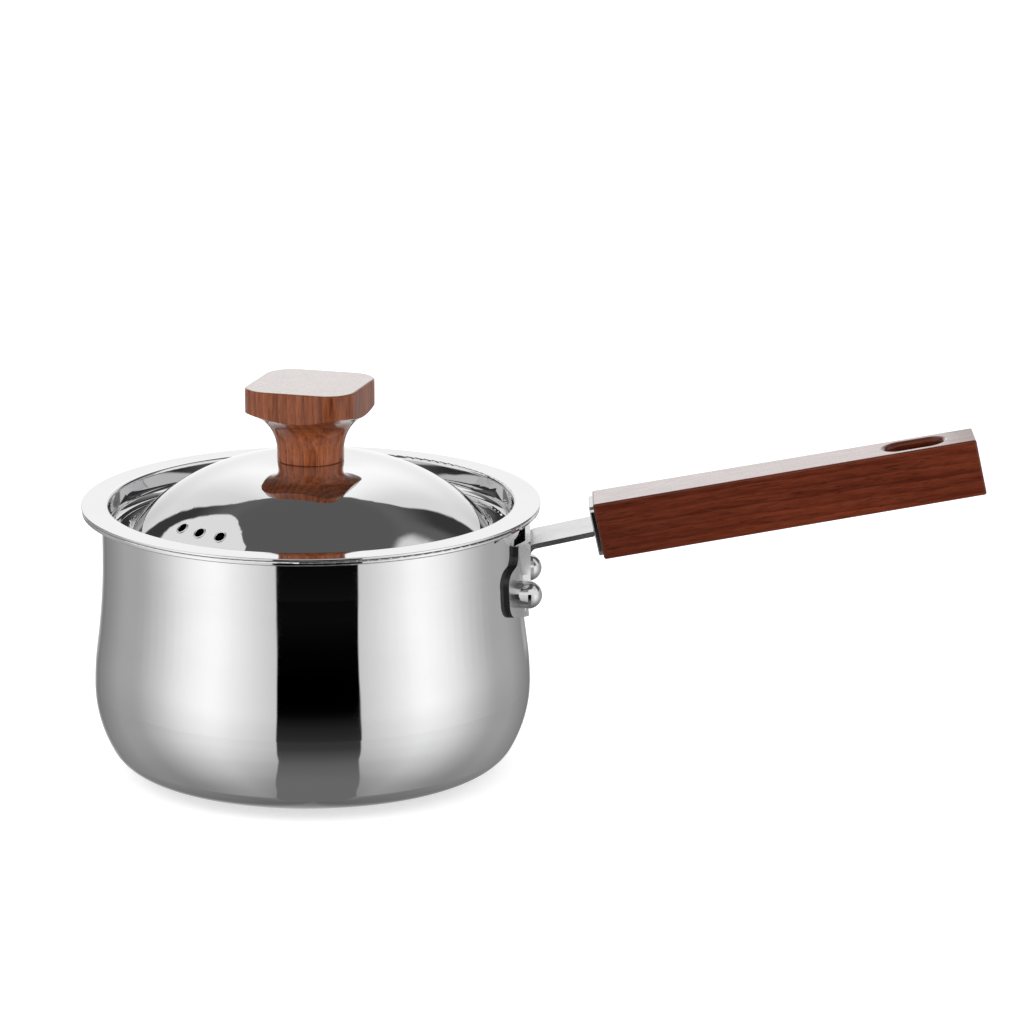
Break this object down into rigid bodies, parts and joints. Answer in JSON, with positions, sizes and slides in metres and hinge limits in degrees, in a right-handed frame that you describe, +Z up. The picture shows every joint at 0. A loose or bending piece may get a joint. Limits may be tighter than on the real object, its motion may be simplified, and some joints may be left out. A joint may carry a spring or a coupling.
{
  "type": "milk pan",
  "caption": "Small round cooking pot with a domed lift-off lid, a wooden knob and a long wooden side handle on a riveted steel bracket.",
  "frame": {"origin": "centre of the flat underside, where the pan stands on the hob", "axes": "+Z up along the pan's axis, +X from the pan's axis towards the handle"},
  "size_m": [0.347, 0.1766, 0.1523],
  "materials": {
    "polished_steel": "mirror-polished stainless steel",
    "brushed_steel": "brushed stainless steel",
    "core_aluminium": "plain",
    "handle_wood": "dark red-brown wood, clear lacquer",
    "knob_wood": "orange-brown wood, clear lacquer",
    "insert_brass": "plain"
  },
  "bodies": {
    "pan": {"pot_body": "polished_steel", "base_core": "core_aluminium", "base_cap": "brushed_steel", "handle_bracket": "polished_steel", "bracket_rivet_front": "polished_steel", "bracket_rivet_rear": "polished_steel", "handle_collar": "brushed_steel", "handle_grip": "handle_wood", "handle_screw_near": "brushed_steel", "handle_screw_far": "brushed_steel"},
    "lid": {"lid_shell": "polished_steel", "lid_knob": "knob_wood", "knob_insert": "insert_brass", "knob_screw": "brushed_steel", "knob_washer": "brushed_steel"}
  },
  "joints": [
    {"name": "lid_lift", "type": "slide", "parent": "pan", "child": "lid", "axis": [0, 0, 1], "range_m": [0, 0.12]}
  ]
}
